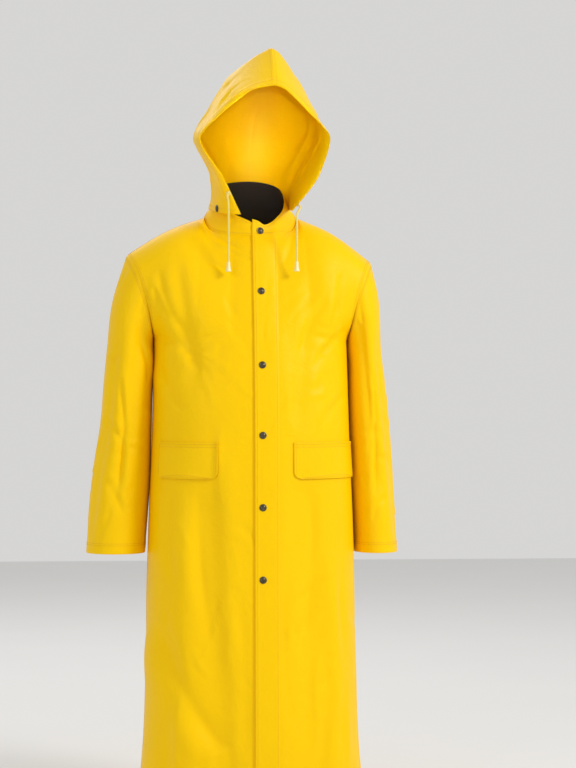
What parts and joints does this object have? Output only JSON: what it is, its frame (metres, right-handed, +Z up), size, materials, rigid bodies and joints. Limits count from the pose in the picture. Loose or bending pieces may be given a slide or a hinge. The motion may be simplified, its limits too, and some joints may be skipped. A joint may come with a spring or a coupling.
{
  "type": "hooded raincoat",
  "caption": "Long hooded raincoat in coated cloth, filled out and hollow, with lapped snap front, pocket flaps, stand collar and a drawcord hood held by press studs.",
  "frame": {"origin": "the point in the neck where the wearer's neck and shoulders carry the coat, in the middle of the neckline", "axes": "+Z up towards the hood's peak; the front faces -Y; +X towards the wearer's left"},
  "size_m": [0.6595, 0.3352, 1.5614],
  "materials": {
    "coated_cloth": "PVC-coated cloth, yellow, soft semi-gloss with fine creases",
    "dark_lining": "near-black napped cloth inside the collar",
    "snap_metal": "dark gunmetal press-stud caps",
    "drawcord": "pale braided cord",
    "cord_end_plastic": "pale moulded plastic"
  },
  "bodies": {
    "root": {"back": "coated_cloth", "front_right": "coated_cloth", "front_left": "coated_cloth", "fly_placket": "coated_cloth", "sleeve_right": "coated_cloth", "sleeve_left": "coated_cloth", "collar": "coated_cloth", "hood_right": "coated_cloth", "hood_left": "coated_cloth", "pocket_flap_right": "coated_cloth", "pocket_flap_left": "coated_cloth", "collar_lining": "dark_lining", "front_snap_1": "snap_metal", "front_snap_2": "snap_metal", "front_snap_3": "snap_metal", "front_snap_4": "snap_metal", "front_snap_5": "snap_metal", "front_snap_6": "snap_metal", "hood_snap_right_front": "snap_metal", "hood_snap_right_back": "snap_metal", "hood_snap_left_front": "snap_metal", "hood_snap_left_back": "snap_metal", "eyelet_right": "cord_end_plastic", "drawcord_right": "drawcord", "cord_end_right": "cord_end_plastic", "eyelet_left": "cord_end_plastic", "drawcord_left": "drawcord", "cord_end_left": "cord_end_plastic"}
  },
  "joints": []
}
